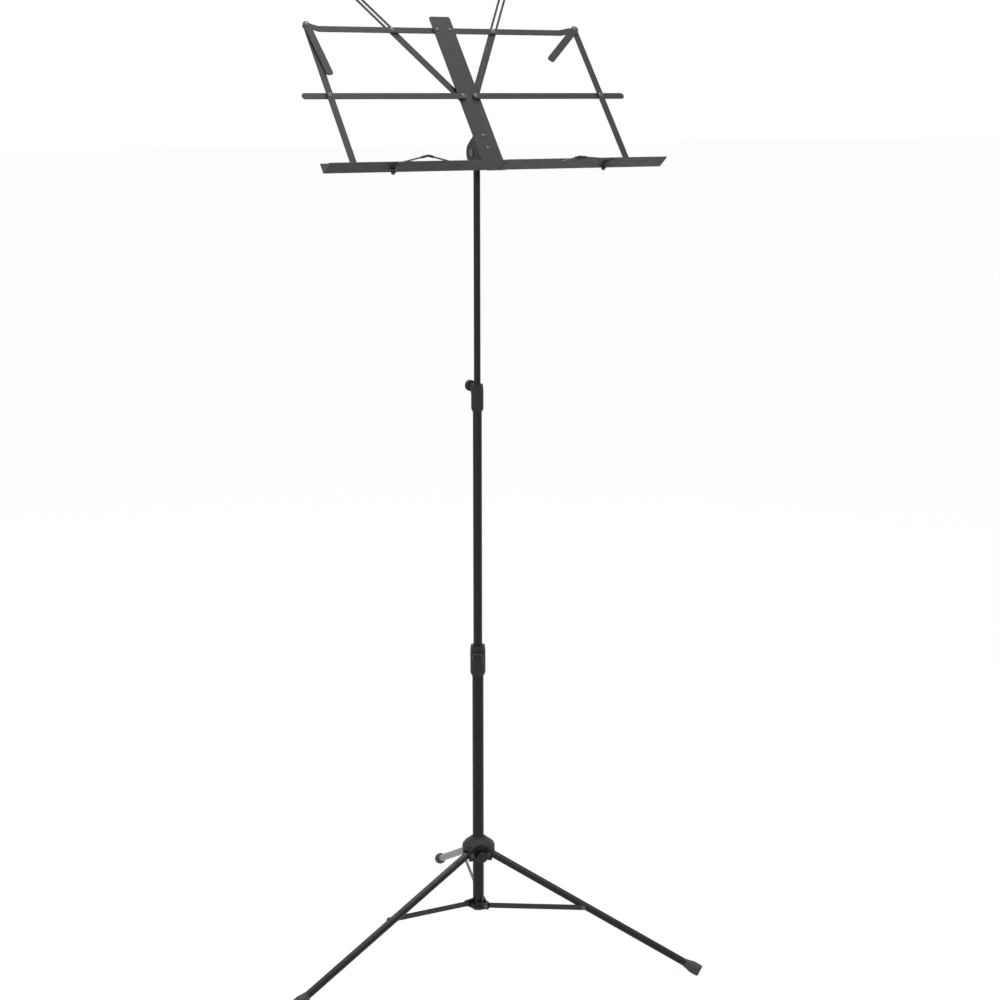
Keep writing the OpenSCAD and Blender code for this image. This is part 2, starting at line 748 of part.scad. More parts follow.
// Knob with two round wings on the bolt's right end
module wing_knob() {
    color(black_plastic) translate([ear_out + pass_gap, 0, tilt_z]) rotate([0, 90, 0]) difference() {
        union() {
            cylinder(d1 = 2 * bolt_d + 2, d2 = 2 * bolt_d, h = wing_hub_h);
            for (s = [0, 180]) rotate([0, 0, s]) {
                translate([0, -wing_w / 2, wing_w / 2]) cube([wing_reach, wing_w, wing_tip_d]);
                translate([wing_reach, wing_w / 2, (wing_w + wing_tip_d) / 2]) rotate([90, 0, 0])
                    cylinder(d = wing_tip_d, h = wing_w);
            }
        }
        translate([0, 0, -cut]) cylinder(d = bolt_d + 2 * run_fit, h = 2 * wing_hub_h);
    }
}

// Plate that the whole desk folds onto
module spine() {
    color(dark_strip) on_desk(spine_back) difference() {
        linear_extrude(sheet)
            plate_2d([-spine_w / 2, ledge_row - spine_end_low],
                     [spine_w / 2, top_row + spine_end_high], spine_corner);
        for (side = [-1, 1], row = [ledge_row, mid_row, top_row]) {
            translate([side * pivot_u, row, -cut]) cylinder(d = rivet_d, h = sheet + 2 * cut);
        }
        for (v = bracket_rivet_rows) translate([0, v, -cut]) cylinder(d = rivet_d, h = sheet + 2 * cut);
    }
}

// Pivots of the six strips, each with the spacers that set its layer
module spine_rivets() {
    color(rivet_steel) on_desk() for (side = [-1, 1]) {
        translate([side * pivot_u, ledge_row, 0]) {
            rivet(spine_back, front_n);
            bush(0, ledge_n - layer_gap);
        }
        translate([side * pivot_u, mid_row, 0]) {
            rivet(arm_n, mid_bar_n + sheet);
            bush(0, head_h);
            bush(top_bar_n, sheet + layer_gap);
        }
        translate([side * pivot_u, top_row, 0]) rivet(top_bar_n, 0, back_head = false, d = small_head_d);
    }
}

// Half of the ledge: an upright flange bent forward into a shelf
module ledge(side, tuck_slot = false) {
    color(dark_strip) on_desk() sided(side) difference() {
        translate([ledge_gap / 2, 0, 0]) rotate([90, 0, 90]) linear_extrude(ledge_end - ledge_gap / 2) {
            translate([shelf_v + bend_r, ledge_n]) square([flange_h - bend_r, sheet]);
            translate([shelf_v, ledge_n + bend_r]) square([sheet, shelf_depth - bend_r]);
            translate([shelf_v + bend_r, ledge_n + bend_r]) difference() {
                circle(r = bend_r);
                circle(r = bend_r - sheet);
                translate([0, -2 * bend_r]) square(4 * bend_r);
                translate([-2 * bend_r, 0]) square(4 * bend_r);
            }
        }
        for (u = [pivot_u, side_u]) translate([u, ledge_row, 0]) rivet_hole(ledge_n, sheet);
        if (tuck_slot) translate([side_u + tuck_slot_u, shelf_v - cut, ledge_n + tuck_slot_n])
            cube([tuck_slot_len, sheet + 2 * cut, tuck_slot_w]);
    }
}

// Rivet at a ledge's outer pivot, riding on the ledge
module ledge_rivet(side) {
    color(rivet_steel) on_desk() translate([side * side_u, ledge_row, 0])
        rivet(side_bar_n, front_n, back_head = false);
}

module mid_bar(side) {
    color(dark_strip) on_desk(mid_bar_n) sided(side) translate([pivot_u, mid_row, 0]) difference() {
        linear_extrude(sheet) strip_2d(-strip_r, bar_reach + mid_bar_tip, strip_w);
        for (x = [0, bar_reach]) translate([x, 0, 0]) rivet_hole(0, sheet);
    }
}

// Top bar: runs behind the spine, and its outer end slopes forward to lie behind the side bar
module top_bar(side) {
    low_x = bar_reach - jog_len;
    high_x = bar_reach - jog_flat;
    slope = atan2(mid_bar_n - top_bar_n, high_x - low_x);
    shift = sheet * tan(slope / 2);
    end_x = bar_reach + strip_r;
    color(dark_strip) on_desk() sided(side) translate([pivot_u, top_row, 0]) difference() {
        intersection() {
            translate([0, 0, top_bar_n - cut])
                linear_extrude(mid_bar_n - top_bar_n + sheet + 2 * cut) strip_2d(-strip_r, end_x, strip_w);
            translate([0, strip_r, 0]) rotate([90, 0, 0]) linear_extrude(strip_w) polygon([
                [-strip_r, top_bar_n], [low_x, top_bar_n], [high_x, mid_bar_n], [end_x, mid_bar_n],
                [end_x, mid_bar_n + sheet], [high_x - shift, mid_bar_n + sheet],
                [low_x - shift, top_bar_n + sheet], [-strip_r, top_bar_n + sheet]
            ]);
        }
        rivet_hole(top_bar_n, sheet);
        translate([bar_reach, 0, 0]) rivet_hole(mid_bar_n, sheet);
        translate([arm_rivet_u, 0, top_bar_n - cut]) cylinder(d = rivet_d, h = sheet + 2 * cut);
    }
}

// Rivet that guides the page arm's slot, flush with the back of the top bar
module arm_rivet(side) {
    color(rivet_steel) on_desk() translate([side * (pivot_u + arm_rivet_u), top_row, 0])
        rivet(top_bar_n, top_bar_n + sheet, back_head = false);
}

module side_bar(side) {
    color(dark_strip) on_desk(side_bar_n) sided(side) translate([side_u, ledge_row, 0]) rotate([0, 0, 90])
        difference() {
            linear_extrude(sheet) strip_2d(-strip_r, 2 * row_pitch + strip_r, strip_w);
            rivet_hole(0, sheet);
            for (row = [1, 2]) translate([row * row_pitch, 0, -cut])
                cylinder(d = rivet_d, h = sheet + 2 * cut);
        }
}

// Rivets of the middle bar and of the corner, riding on the side bar
module side_rivets(side) {
    color(rivet_steel) on_desk() {
        translate([side * side_u, mid_row, 0]) rivet(mid_bar_n, side_bar_n + sheet);
        translate([side * side_u, top_row, 0]) rivet(mid_bar_n, front_n);
    }
}

// Slotted page arm behind the top bar
module page_arm(side) {
    color(dark_strip) on_desk(arm_n) sided(side) translate([pivot_u, mid_row, 0]) rotate([0, 0, arm_angle])
        difference() {
            linear_extrude(sheet) difference() {
                strip_2d(-arm_w / 2, arm_len, arm_w);
                strip_2d(arm_rivet_open - rivet_d, arm_len - slot_tip, slot_w);
            }
            rivet_hole(0, sheet);
        }
}

// Corner tab, hanging from the corner rivet and swung inward
module tab(side, swing) {
    color(dark_strip) on_desk(ledge_n) sided(side) translate([side_u, top_row, 0]) rotate([0, 0, -90 - swing])
        difference() {
            linear_extrude(sheet) {
                circle(d = tab_w);
                translate([0, -tab_w / 2]) square([tab_len / 2, tab_w]);
                plate_2d([0, -tab_w / 2], [tab_len, tab_w / 2], tab_corner);
            }
            rivet_hole(0, sheet);
        }
}

// Straight piece of wire between two points
module wire(from, to) {
    run = to - from;
    translate(from) rotate([0, acos(run[2] / norm(run)), atan2(run[1], run[0])])
        cylinder(d = wire_d, h = norm(run));
}

// Places the children at a retainer's bend, with X along the wire towards the pivot
module at_bend(side, rise) {
    on_desk() sided(side) translate([retainer_u, wire_v, wire_n]) rotate([0, 0, -rise])
        translate([-retainer_bend, 0, 0]) children();
}

// Round bar along X, starting a little before the origin
module run_bar(d, length, before) {
    translate([-before, 0, 0]) rotate([0, 90, 0]) cylinder(d = d, h = length + before);
}

// Straight run along X from a mitred end whose face is turned by an angle
module mitred_run(d, length, turn) {
    intersection() {
        run_bar(d, length, d);
        rotate([0, 0, turn]) translate([0, -length, -length]) cube(2 * length);
    }
}

// The two straight runs at a bend
module bend_run(d, inner, outer, turn) {
    mitred_run(d, inner, turn / 2);
    rotate([0, 0, 180 + turn]) mitred_run(d, outer, -turn / 2);
}

// Wire arm: an axle under the shelf with a finger tail, turned up into a low peak before the shelf
module retainer(side, rise, fall) {
    color(rivet_steel) {
        on_desk() sided(side) translate([retainer_u, wire_v, 0]) {
            translate([0, 0, axle_n]) cylinder(d = wire_d, h = wire_n - axle_n);
            translate([0, 0, axle_n - clip_plate]) cylinder(d = 1.8 * wire_d, h = clip_plate);
            translate([0, 0, wire_n]) sphere(d = wire_d);
            wire([0, 0, tail_n], [retainer_tail, -tail_drop, front_knuckle_n]);
        }
        at_bend(side, rise) bend_run(wire_d, retainer_bend, retainer_tip, rise + fall);
    }
}

// Length of soft sleeve on one run of the wire, starting where it clears the other run's length
module sleeve_run(length, mitre) {
    translate([mitre, 0, 0]) rotate([0, 90, 0]) difference() {
        cylinder(d = sleeve_d, h = length - mitre);
        translate([0, 0, -cut]) cylinder(d = wire_d, h = length + 2 * cut);
    }
}

// Soft sleeve over the retainer's peak, one length on each side of the bend
module sleeve(side, rise, fall) {
    mitre = sleeve_d / 2 * tan((rise + fall) / 2) + sliver;
    color(black_plastic) at_bend(side, rise) {
        sleeve_run(sleeve_in, mitre);
        rotate([0, 0, 180 + rise + fall]) sleeve_run(sleeve_out, mitre);
    }
}

// Clip under the shelf: a plate with two knuckles around the retainer's axle
module clip(side) {
    color(black_plastic) on_desk() sided(side) translate([retainer_u, 0, 0]) difference() {
        union() {
            translate([-clip_w / 2, shelf_v - clip_plate, clip_n])
                cube([clip_w, clip_plate, front_knuckle_n + knuckle_h - clip_n]);
            for (n = [clip_n, front_knuckle_n]) translate([0, wire_v, n])
                cylinder(d = knuckle_d, h = knuckle_h);
        }
        translate([0, wire_v, 0]) cylinder(d = wire_d + 2 * run_fit, h = 2 * wire_n);
        translate([-knuckle_d, shelf_v, 0]) cube([2 * knuckle_d, knuckle_d, 2 * wire_n]);
    }
}

bottom_tube();
end_cap();
strut_collar();
collar_pins();
lower_clutch();
lower_knob();
hub();
leg_pins();
hub_knob();
leg(leg_turns[0]);  // leg_rear
leg(leg_turns[1]);  // leg_left
leg(leg_turns[2]);  // leg_right
foot(leg_turns[0]);  // foot_rear
foot(leg_turns[1]);  // foot_left
foot(leg_turns[2]);  // foot_right
strut(leg_turns[0]);  // strut_rear
strut(leg_turns[1]);  // strut_left
strut(leg_turns[2]);  // strut_right
strut_rivet(leg_turns[0]);  // strut_rivet_rear
strut_rivet(leg_turns[1]);  // strut_rivet_left
strut_rivet(leg_turns[2]);  // strut_rivet_right
mid_tube();
mid_plug();
upper_clutch();
upper_knob();
top_plug();
top_tube();
tilt_head();
tilt_bracket();
bracket_rivets();
tilt_bolt();
wing_knob();
spine();
spine_rivets();
ledge(-1);  // ledge_left
ledge(1, tuck_slot = true);  // ledge_right
ledge_rivet(-1);  // ledge_rivet_left
ledge_rivet(1);  // ledge_rivet_right
mid_bar(-1);  // mid_bar_left
mid_bar(1);  // mid_bar_right
top_bar(-1);  // top_bar_left
top_bar(1);  // top_bar_right
arm_rivet(-1);  // arm_rivet_left
arm_rivet(1);  // arm_rivet_right
side_bar(-1);  // side_bar_left
side_bar(1);  // side_bar_right
side_rivets(-1);  // side_rivets_left
side_rivets(1);  // side_rivets_right
page_arm(-1);  // page_arm_left
page_arm(1);  // page_arm_right
tab(-1, left_tab_swing);  // tab_left
tab(1, right_tab_swing);  // tab_right
retainer(-1, left_retainer_rise, left_retainer_fall);  // retainer_left
retainer(1, right_retainer_rise, right_retainer_fall);  // retainer_right
sleeve(-1, left_retainer_rise, left_retainer_fall);  // sleeve_left
sleeve(1, right_retainer_rise, right_retainer_fall);  // sleeve_right
clip(-1);  // clip_left
clip(1);  // clip_right
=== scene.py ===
import json
import math

import bmesh
import bpy
from mathutils import Matrix, Vector


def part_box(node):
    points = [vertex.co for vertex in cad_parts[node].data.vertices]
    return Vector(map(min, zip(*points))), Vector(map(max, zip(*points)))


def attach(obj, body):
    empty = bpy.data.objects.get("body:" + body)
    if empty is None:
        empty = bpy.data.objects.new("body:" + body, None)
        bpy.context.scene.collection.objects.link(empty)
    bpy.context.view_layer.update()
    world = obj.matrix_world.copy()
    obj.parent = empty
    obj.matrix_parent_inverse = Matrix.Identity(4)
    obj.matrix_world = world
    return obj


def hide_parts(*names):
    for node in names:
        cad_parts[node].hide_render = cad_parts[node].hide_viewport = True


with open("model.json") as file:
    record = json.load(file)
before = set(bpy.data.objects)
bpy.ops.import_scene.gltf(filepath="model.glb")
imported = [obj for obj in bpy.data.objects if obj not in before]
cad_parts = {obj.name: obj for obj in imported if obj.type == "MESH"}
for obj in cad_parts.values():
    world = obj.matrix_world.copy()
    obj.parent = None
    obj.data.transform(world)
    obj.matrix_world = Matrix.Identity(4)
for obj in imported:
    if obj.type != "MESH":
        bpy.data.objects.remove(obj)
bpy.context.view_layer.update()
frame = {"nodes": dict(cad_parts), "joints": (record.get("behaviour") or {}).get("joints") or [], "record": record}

# A folding music stand on a plain pale floor: black tubes and plastic, riveted charcoal strips.
# Sizes of the stand are in millimetres, and MM turns them into Blender's metres.
# Floor, lamps and camera are in metres.

MM = 0.001
joints = {joint["name"]: joint for joint in frame["joints"]}
body_of = {n: body for body, names in frame["record"]["behaviour"]["bodies"].items() for n in names}
slot_of = {part["node"]: part["material_slot"] for part in frame["record"]["subparts"]}


def joint_place(name):
    """A joint's point, in millimetres."""
    return Vector(joints[name]["pos_m"]) / MM


# ---------------------------------------------------------------- materials

# Scales of the noise, in features per metre, and the share of its finer layers.
NOISE_ROUGHNESS = 0.55
MOTTLE_SCALE = 30.0
GLOSS_SCALE = 90.0
WEAR_AND_HIGHLIGHT_SCALE = 220.0

# Pointiness where an edge starts to lighten and where it is fully lightened, and how much it lightens at most; the
# lighter edges are partly wear and partly a painted highlight.
WEAR_AND_HIGHLIGHT_EDGE = (0.52, 0.62)
WEAR_AND_HIGHLIGHT_PATCHES = (0.35, 0.65)
WEAR_AND_HIGHLIGHT_MOST = 0.75

# The wear colours lighten the edges, partly as wear and partly as a painted highlight; they are brightest on the
# rivets, where they paint the glint of the heads.
FINISHES = {
    "tube_black": dict(color=(0.004, 0.004, 0.0045), rough=(0.25, 0.31), specular=0.25,
                       grain=1400, grain_depth=0.002, wave=0.003),
    "plastic_black": dict(color=(0.009, 0.009, 0.0098), rough=(0.44, 0.56), specular=0.3,
                          grain=2600, grain_depth=0.03, wave=0.01),
    "knob_black": dict(color=(0.009, 0.009, 0.0095), rough=(0.34, 0.46), specular=0.3,
                       grain=2200, grain_depth=0.02),
    "strip_charcoal": dict(color=(0.0165, 0.0165, 0.0195), rough=(0.36, 0.46), specular=0.28,
                           grain=1700, grain_depth=0.02, wave=0.015, tone=0.07,
                           wear_and_highlight=(0.045, 0.045, 0.048)),
    "strut_dark": dict(color=(0.014, 0.014, 0.015), rough=(0.34, 0.46), specular=0.3,
                       grain=1500, grain_depth=0.015, wear_and_highlight=(0.04, 0.04, 0.041)),
    "rivet_dark": dict(color=(0.045, 0.045, 0.046), rough=(0.24, 0.34), specular=0.5,
                       grain=1600, grain_depth=0.01, wear_and_highlight=(0.2, 0.2, 0.2)),
    "foot_rubber": dict(color=(0.036, 0.036, 0.038), rough=(0.6, 0.8), specular=0.3,
                        grain=1900, grain_depth=0.05, wave=0.03, wave_scale=250),
    "wire_dark": dict(color=(0.02, 0.02, 0.021), rough=(0.28, 0.4), specular=0.4,
                      grain=1500, grain_depth=0.01),
    "sleeve_soft": dict(color=(0.006, 0.006, 0.0065), rough=(0.3, 0.45), specular=0.3,
                        grain=1500, grain_depth=0.015),
    "clip_dark": dict(color=(0.022, 0.022, 0.023), rough=(0.36, 0.48), specular=0.35,
                      grain=1500, grain_depth=0.015),
}


def noise(tree, coords, scale, detail):
    n = tree.nodes.new("ShaderNodeTexNoise")
    n.inputs["Scale"].default_value = scale
    n.inputs["Detail"].default_value = detail
    n.inputs["Roughness"].default_value = NOISE_ROUGHNESS
    tree.links.new(coords, n.inputs["Vector"])
    return n.outputs["Fac"]


def ramp(tree, source, low, high, start=0.3, end=0.7):
    """Turns the range start to end of a value into low to high."""
    n = tree.nodes.new("ShaderNodeMapRange")
    n.inputs["From Min"].default_value = start
    n.inputs["From Max"].default_value = end
    n.inputs["To Min"].default_value = low
    n.inputs["To Max"].default_value = high
    tree.links.new(source, n.inputs["Value"])
    return n.outputs["Result"]


def mix_color(tree, factor, a, b):
    """Mixes a, a colour or an output, with the colour b."""
    n = tree.nodes.new("ShaderNodeMix")
    n.data_type = "RGBA"
    tree.links.new(factor, n.inputs["Factor"])
    if isinstance(a, tuple):
        n.inputs["A"].default_value = (*a, 1)
    else:
        tree.links.new(a, n.inputs["A"])
    n.inputs["B"].default_value = (*b, 1)
    return n.outputs["Result"]


def bump(tree, height, depth, normal=None):
    n = tree.nodes.new("ShaderNodeBump")
    n.inputs["Strength"].default_value = 1.0
    n.inputs["Distance"].default_value = depth * MM
    tree.links.new(height, n.inputs["Height"])
    if normal:
        tree.links.new(normal, n.inputs["Normal"])
    return n.outputs["Normal"]


def edge_wear_and_highlight(tree, coords):
    """Patchy lighter edges, partly wear and partly a painted highlight, 0 to WEAR_AND_HIGHLIGHT_MOST."""
    edge = tree.nodes.new("ShaderNodeNewGeometry").outputs["Pointiness"]
    # Mask of the lighter edges: wear and painted highlight together.
    worn = tree.nodes.new("ShaderNodeMath")
    worn.operation = "MULTIPLY"
    tree.links.new(ramp(tree, edge, 0, WEAR_AND_HIGHLIGHT_MOST, *WEAR_AND_HIGHLIGHT_EDGE), worn.inputs[0])
    tree.links.new(ramp(tree, noise(tree, coords, WEAR_AND_HIGHLIGHT_SCALE, 5), 0, 1, *WEAR_AND_HIGHLIGHT_PATCHES), worn.inputs[1])
    return worn.outputs[0]


def finish_material(name, color, rough, specular, grain, grain_depth,
                    wave=0.0, wave_scale=120.0, tone=0.12, wear_and_highlight=None):
    """Procedural finish: two close tones, uneven gloss, fine grain, a slow ripple, and lighter edges that are
    partly wear and partly a painted highlight.
    """
    mat = bpy.data.materials.new(name)
    mat.use_nodes = True
    tree = mat.node_tree
    shader = tree.nodes["Principled BSDF"]
    coords = tree.nodes.new("ShaderNodeTexCoord").outputs["Object"]
    dark = tuple(c * (1 - tone) for c in color)
    light = tuple(c * (1 + tone) for c in color)
    base = mix_color(tree, ramp(tree, noise(tree, coords, MOTTLE_SCALE, 4), 0, 1), dark, light)
    # Edges mixed towards the wear colour: partly wear, partly a painted highlight.
    if wear_and_highlight:
        base = mix_color(tree, edge_wear_and_highlight(tree, coords), base, wear_and_highlight)
    tree.links.new(base, shader.inputs["Base Color"])
    tree.links.new(ramp(tree, noise(tree, coords, GLOSS_SCALE, 5), *rough), shader.inputs["Roughness"])
    shader.inputs["Specular IOR Level"].default_value = specular
    normal = bump(tree, noise(tree, coords, grain, 2), grain_depth)
    if wave:
        normal = bump(tree, noise(tree, coords, wave_scale, 2), wave, normal)
    tree.links.new(normal, shader.inputs["Normal"])
    return mat


materials = {name: finish_material(name, **finish) for name, finish in FINISHES.items()}


# ---------------------------------------------------------------- mesh helpers

SMOOTH_ANGLE = math.radians(35)  # sharper edges than this show as edges
BEVEL_ANGLE = math.radians(40)  # sharper edges than this are rounded
FLAT_ANGLE = math.radians(0.5)  # faces closer than this are one face
WELD = 1e-6  # points closer than this, in metres, are one point
DOME_STEPS = [math.radians(a) for a in (0, 25, 50, 75)]  # rings of a wire's domed end
TURN = 2 * math.pi

replaced = set()


def add_piece(node_name, suffix, mesh):
    """Puts a mesh into the scene in the place of a CAD node."""
    slot = slot_of[node_name]
    piece = bpy.data.objects.new(node_name + suffix, mesh)
    bpy.context.scene.collection.objects.link(piece)
    mesh.materials.clear()
    mesh.materials.append(materials[slot])
    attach(piece, body_of[node_name])
    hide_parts(node_name)
    replaced.add(node_name)


def smooth_shade(mesh):
    for face in mesh.polygons:
        face.use_smooth = True
    mesh.set_sharp_from_angle(angle=SMOOTH_ANGLE)


def soften(node_name, width, segments):
    """Replaces a CAD node by a copy with small rounded edges."""
    mesh = frame["nodes"][node_name].data.copy()
    bm = bmesh.new()
    bm.from_mesh(mesh)
    bmesh.ops.remove_doubles(bm, verts=bm.verts, dist=WELD)
    bmesh.ops.dissolve_limit(bm, angle_limit=FLAT_ANGLE, verts=bm.verts, edges=bm.edges)
    bm.to_mesh(mesh)
    bm.free()
    for face in mesh.polygons:
        face.use_smooth = True
    temp = bpy.data.objects.new(node_name + "_soft", mesh)
    bpy.context.scene.collection.objects.link(temp)
    bevel = temp.modifiers.new("edge", "BEVEL")
    bevel.width = width * MM
    bevel.segments = segments
    bevel.limit_method = "ANGLE"
    bevel.angle_limit = BEVEL_ANGLE
    bevel.use_clamp_overlap = True
    flat = temp.modifiers.new("flat", "WEIGHTED_NORMAL")
    flat.mode = "FACE_AREA"
    flat.weight = 100
    flat.keep_sharp = True
    graph = bpy.context.evaluated_depsgraph_get()
    soft = bpy.data.meshes.new_from_object(temp.evaluated_get(graph))
    bpy.data.objects.remove(temp)
    add_piece(node_name, "_finish", soft)


def circle(segments):
    """Cosine and sine of evenly spaced angles."""
    return [(math.cos(TURN * k / segments), math.sin(TURN * k / segments)) for k in range(segments)]


class Shell:
    """Collects closed surfaces, given in millimetres, into one mesh."""

    def __init__(self):
        self.points, self.faces = [], []

    def rings(self, rings, close=False):
        """Skins a row of equal rings; close joins the last ring to the first instead of capping both."""
        start, count = len(self.points), len(rings[0])
        for ring in rings:
            self.points += [tuple(c * MM for c in p) for p in ring]
        last = len(rings) if close else len(rings) - 1
        for i in range(last):
            a, b = start + i * count, start + (i + 1) % len(rings) * count
            for k in range(count):
                m = (k + 1) % count
                self.faces.append((a + k, a + m, b + m, b + k))
        if not close:
            end = start + (len(rings) - 1) * count
            self.faces.append(tuple(start + k for k in reversed(range(count))))
            self.faces.append(tuple(end + k for k in range(count)))

    def lathe(self, profile, place, close=False, segments=64, ripple=None):
        """Turns a profile of (radius, height) pairs around the local Z of a placement."""
        rings = []
        for r, z in profile:
            ring = []
            for k in range(segments):
                t = TURN * k / segments
                radius = ripple(r, t) if ripple else r
                ring.append(place @ Vector((radius * math.cos(t), radius * math.sin(t), z)))
            rings.append(ring)
        self.rings(rings, close)

    def sweep(self, path, radius, segments):
        """Round wire with domed ends along a path of points."""
        path = [Vector(p) for p in path]
        last = len(path) - 1
        tangents = [(path[min(i + 1, last)] - path[max(i - 1, 0)]).normalized() for i in range(last + 1)]
        side = tangents[0].orthogonal().normalized()
        rings = []

        def ring(centre, along, r):
            up = along.cross(side)
            rings.append([centre + r * (c * side + s * up) for c, s in circle(segments)])

        for i, (p, t) in enumerate(zip(path, tangents)):
            side = (side - side.dot(t) * t).normalized()
            if i == 0:
                for a in reversed(DOME_STEPS):
                    ring(p + t * radius * (1 - math.sin(a)), t, radius * math.cos(a))
            elif i == last:
                for a in DOME_STEPS:
                    ring(p - t * radius * (1 - math.sin(a)), t, radius * math.cos(a))
            else:
                ring(p, t, radius)
        self.rings(rings)

    def mesh(self, name):
        out = bpy.data.meshes.new(name)
        out.from_pydata(self.points, [], self.faces)
        bm = bmesh.new()
        bm.from_mesh(out)
        bmesh.ops.recalc_face_normals(bm, faces=bm.faces)
        bm.to_mesh(out)
        bm.free()
        smooth_shade(out)
        return out

    def replace(self, node_name, suffix):
        """Puts the shell into the scene in the place of a CAD node."""
        add_piece(node_name, suffix, self.mesh(node_name + suffix))


def placement(origin, axis):
    """Placement whose Z runs along an axis, from an origin in millimetres."""
    return Matrix.Translation(Vector(origin)) @ Vector(axis).to_track_quat("Z", "Y").to_matrix().to_4x4()


def rounded(points, radii, steps=8):
    """Path through points with an arc at each inner corner."""
    path = [Vector(points[0])]
    for i in range(1, len(points) - 1):
        a, b, c = Vector(points[i - 1]), Vector(points[i]), Vector(points[i + 1])
        u, v = (a - b).normalized(), (c - b).normalized()
        half = u.angle(v) / 2
        reach = radii[i - 1] / math.tan(half)
        centre = b + (u + v).normalized() * (radii[i - 1] / math.sin(half))
        start, end = b + u * reach - centre, b + v * reach - centre
        total = start.angle(end)
        for k in range(steps + 1):
            t = k / steps
            arm = (start * math.sin((1 - t) * total) + end * math.sin(t * total)) / math.sin(total)
            path.append(centre + arm)
    path.append(Vector(points[-1]))
    return path


# ---------------------------------------------------------------- the desk's own directions

# u runs sideways, v up the desk from the tilt bolt, n out of its face.
LEAN = math.radians(38)
TILT_Z = joint_place("desk_tilt").z
FACE = 29.0  # from the tilt bolt to the desk's face
DESK_OUT = Vector((0, -math.cos(LEAN), math.sin(LEAN)))


def desk(u, v, n):
    """World point of a desk point, in millimetres."""
    n += FACE
    return Vector((u, v * math.sin(LEAN) - n * math.cos(LEAN), TILT_Z + v * math.cos(LEAN) + n * math.sin(LEAN)))


# ---------------------------------------------------------------- tubes

# Outer and inner radius.
TUBES = {"bottom_tube": (8.0, 6.8), "mid_tube": (6.25, 5.25), "top_tube": (4.6, 3.6)}
TUBE_ROLL = 0.35  # rounding of the ends
TUBE_LIP = 0.1
TUBE_RINGS = 12


def tube_piece(node_name, outer, inner):
    """Drawn tube with slightly rolled ends."""
    low, high = [corner[2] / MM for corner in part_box(node_name)]
    profile = [(inner + TUBE_ROLL, low), (outer - TUBE_ROLL, low), (outer - TUBE_LIP, low + TUBE_LIP),
               (outer, low + TUBE_ROLL)]
    profile += [(outer, low + (high - low) * k / TUBE_RINGS) for k in range(1, TUBE_RINGS)]
    profile += [(outer, high - TUBE_ROLL), (outer - TUBE_LIP, high - TUBE_LIP), (outer - TUBE_ROLL, high),
                (inner + TUBE_ROLL, high), (inner, high - TUBE_ROLL), (inner, low + TUBE_ROLL)]
    shell = Shell()
    shell.lathe(profile, Matrix(), close=True, segments=96)
    shell.replace(node_name, "_drawn")


for node_name, (outer, inner) in TUBES.items():
    tube_piece(node_name, outer, inner)


# ---------------------------------------------------------------- lock knobs

# How far the screw's tip and the knob's seat are from the mast's axis.
KNOBS = {"hub_knob": (8.05, 19.5), "lower_knob": (6.3, 13.5), "upper_knob": (4.65, 11.3)}
KNOB_GAP = 0.3  # between the seat and the knob
KNOB_PROFILE = [(5.6, 0.0), (6.9, 0.0), (7.35, 0.25), (7.6, 0.7), (7.7, 1.3), (7.7, 4.7), (7.6, 5.3),
                (7.3, 5.8), (6.8, 6.1), (6.3, 6.15), (5.9, 5.9), (5.6, 5.65), (2.0, 5.6)]
FLUTES, FLUTE_DEPTH, FLUTE_R = 10, 0.55, 6.6  # the flutes stay outside FLUTE_R
BAR_W, BAR_L = 1.7, 5.2  # half the width and length of the grip bar
BAR_RINGS = ((5.3, 0.0), (6.4, 0.0), (6.75, 0.12), (6.93, 0.35), (7.0, 0.7))  # height and inset
SCREW_R, SCREW_NECK_R, SCREW_TIP_R = 1.95, 1.9, 1.2
SCREW_TIP = 0.6  # length of the tip's cone
SCREW_IN = 1.0  # how deep the screw sits in the knob


def flute(r, turn):
    if r < FLUTE_R:
        return r
    return r - FLUTE_DEPTH * max(0.0, math.cos(FLUTES * turn)) ** 3


def knob_piece(node_name, tip_r, seat_r):
    """Fluted knob with a raised grip bar across its face, on a plain screw."""
    joint_name = node_name + "_turn"
    place = placement((0, 0, joint_place(joint_name).z), joints[joint_name]["axis"])
    base = seat_r + KNOB_GAP
    shell = Shell()
    shell.lathe([(r, base + z) for r, z in KNOB_PROFILE], place, segments=120, ripple=flute)
    rings = []
    for z, inset in BAR_RINGS:
        ring = []
        for c, s in circle(40):
            x = (BAR_L - BAR_W) * (1 if c >= 0 else -1) + (BAR_W - inset) * c
            ring.append(place @ Vector(((BAR_W - inset) * s, x, base + z)))
        rings.append(ring)
    shell.rings(rings)
    shell.lathe([(SCREW_TIP_R, tip_r), (SCREW_NECK_R, tip_r + SCREW_TIP), (SCREW_R, base + SCREW_IN)],
                place, segments=32)
    shell.replace(node_name, "_grip")


for node_name, (tip_r, seat_r) in KNOBS.items():
    knob_piece(node_name, tip_r, seat_r)


# ---------------------------------------------------------------- feet

LEG_TURNS = {"rear": 71.5, "left": 191.5, "right": -48.5}  # degrees around the mast
LEG_SLOPE = math.radians(24)
LEG_PIN_R = 18.0  # from the mast's axis to a leg's pin
FOOT_AT = 314.0  # from the pin to the mouth of the foot
FLOOR_CUT = 0.01  # the soles stop this high above the floor
FOOT_PROFILE = [(5.3, 0.0), (5.9, 0.0), (6.15, 0.2), (6.2, 0.7), (6.2, 1.6), (5.95, 1.9), (5.95, 2.5),
                (6.25, 2.8), (6.6, 4.4), (7.3, 6.8), (7.95, 9.4), (8.25, 11.6), (8.3, 13.4), (8.05, 13.8),
                (8.05, 14.4), (8.3, 14.8), (8.3, 17.6), (8.15, 19.6), (7.95, 21.2), (7.6, 22.3),
                (7.0, 22.85), (6.2, 23.0), (5.4, 22.9), (5.0, 22.4), (4.4, 22.2), (0.6, 22.2)]


